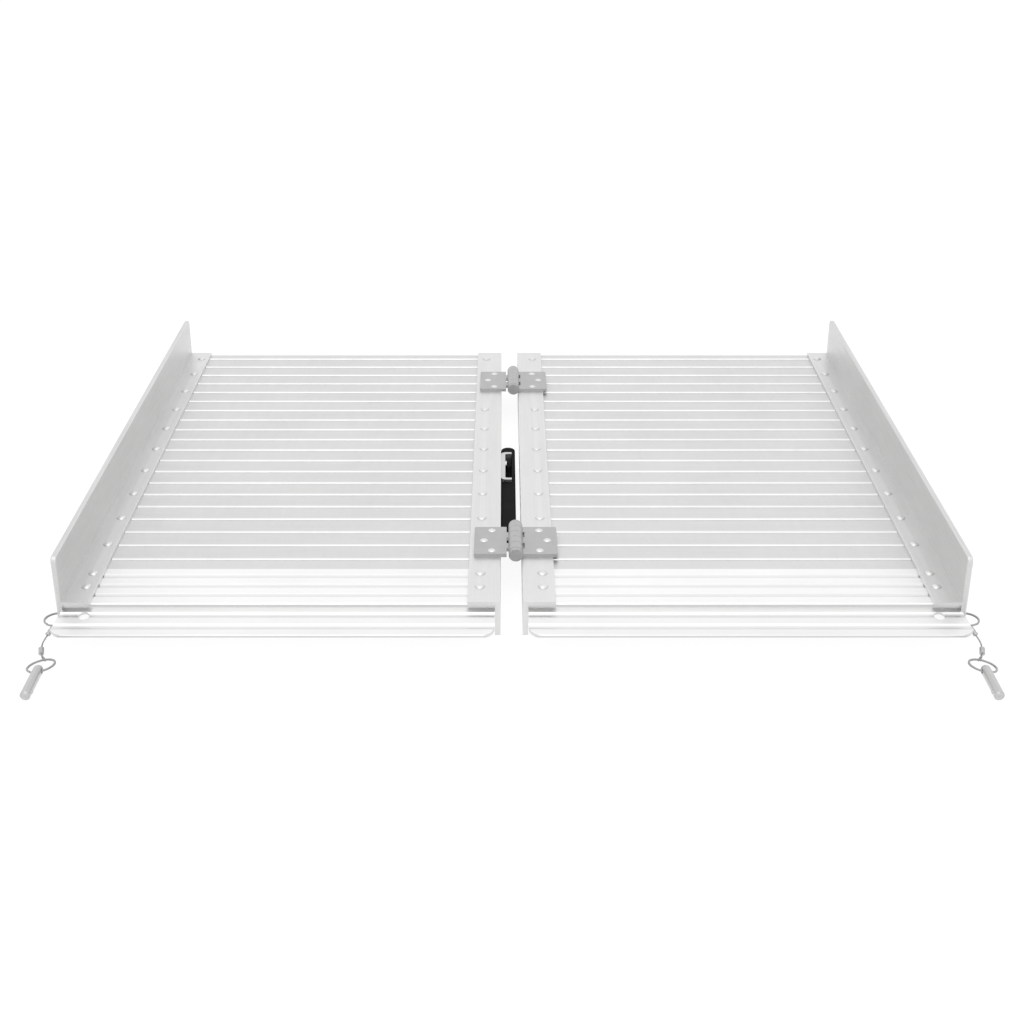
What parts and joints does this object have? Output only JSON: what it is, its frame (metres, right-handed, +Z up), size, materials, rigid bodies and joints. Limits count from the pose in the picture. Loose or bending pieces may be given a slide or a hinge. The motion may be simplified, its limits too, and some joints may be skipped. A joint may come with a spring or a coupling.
{
  "type": "folding loading ramp",
  "caption": "Wide folding loading ramp of two hinged aluminium panels with curbs, sloped lips, a carrying handle and tethered locking pins.",
  "frame": {"origin": "centre of the unfolded ramp's footprint on the ground, lanyards left out", "axes": "+X across both panels to the right, +Y from the lips to the far end, +Z up"},
  "size_m": [0.7448, 0.68, 0.069],
  "materials": {
    "rail_aluminium": "milled, fine scratches",
    "plank_aluminium": "matt extruded",
    "bright_aluminium": "bright extruded, fluted",
    "rivet_aluminium": "satin",
    "hinge_steel": "zinc plated",
    "screw_steel": "zinc plated",
    "grip_rubber": "matt black",
    "bracket_steel": "zinc plated",
    "ring_steel": "plated wire",
    "cable_steel": "stranded wire",
    "ferrule_aluminium": "crimped",
    "pin_steel": "zinc plated",
    "ball_steel": "polished"
  },
  "bodies": {
    "left_panel": {"left_outer_rail": "rail_aluminium", "left_inner_rail": "rail_aluminium", "left_plank_01": "plank_aluminium", "left_plank_02": "plank_aluminium", "left_plank_03": "plank_aluminium", "left_plank_04": "plank_aluminium", "left_plank_05": "plank_aluminium", "left_plank_06": "plank_aluminium", "left_plank_07": "plank_aluminium", "left_plank_08": "plank_aluminium", "left_plank_09": "plank_aluminium", "left_plank_10": "plank_aluminium", "left_end_plank": "bright_aluminium", "left_lip": "bright_aluminium", "left_outer_rivets": "rivet_aluminium", "left_inner_rivets": "rivet_aluminium", "far_hinge_left_leaf": "hinge_steel", "near_hinge_left_leaf": "hinge_steel", "left_hinge_rivets": "rivet_aluminium", "left_anchor_ring": "ring_steel", "left_cable": "cable_steel", "left_ferrules": "ferrule_aluminium", "left_pin_ring": "ring_steel", "handle_grip": "grip_rubber", "handle_bracket": "bracket_steel", "handle_clamp": "bracket_steel", "handle_screws": "screw_steel"},
    "right_panel": {"right_outer_rail": "rail_aluminium", "right_inner_rail": "rail_aluminium", "right_plank_01": "plank_aluminium", "right_plank_02": "plank_aluminium", "right_plank_03": "plank_aluminium", "right_plank_04": "plank_aluminium", "right_plank_05": "plank_aluminium", "right_plank_06": "plank_aluminium", "right_plank_07": "plank_aluminium", "right_plank_08": "plank_aluminium", "right_plank_09": "plank_aluminium", "right_plank_10": "plank_aluminium", "right_end_plank": "bright_aluminium", "right_lip": "bright_aluminium", "right_outer_rivets": "rivet_aluminium", "right_inner_rivets": "rivet_aluminium", "far_hinge_right_leaf": "hinge_steel", "near_hinge_right_leaf": "hinge_steel", "right_hinge_rivets": "rivet_aluminium", "right_anchor_ring": "ring_steel", "right_cable": "cable_steel", "right_ferrules": "ferrule_aluminium", "right_pin_ring": "ring_steel", "near_hinge_pin": "hinge_steel", "far_hinge_pin": "hinge_steel"},
    "left_lock_pin": {"left_detent_pin": "pin_steel"},
    "right_lock_pin": {"right_detent_pin": "pin_steel"},
    "left_ball": {"left_detent_ball": "ball_steel"},
    "right_ball": {"right_detent_ball": "ball_steel"}
  },
  "joints": [
    {"name": "panel_fold", "type": "hinge", "parent": "left_panel", "child": "right_panel", "pos_m": [0.0038, 0, 0.0338], "axis": [0, -1, 0], "range_deg": [-8, 174]},
    {"name": "left_pin_swing", "type": "hinge", "parent": "left_panel", "child": "left_lock_pin", "pos_m": [-0.361, -0.3399, 0.0039], "axis": [-1, 0, 0], "range_deg": [0, 90]},
    {"name": "right_pin_swing", "type": "hinge", "parent": "right_panel", "child": "right_lock_pin", "pos_m": [0.361, -0.3399, 0.0039], "axis": [-1, 0, 0], "range_deg": [0, 90]},
    {"name": "left_ball_press", "type": "slide", "parent": "left_lock_pin", "child": "left_ball", "axis": [1, 0, 0], "range_m": [-0.0007, 0], "stiffness_N_per_m": 800},
    {"name": "right_ball_press", "type": "slide", "parent": "right_lock_pin", "child": "right_ball", "axis": [-1, 0, 0], "range_m": [-0.0007, 0], "stiffness_N_per_m": 800}
  ]
}
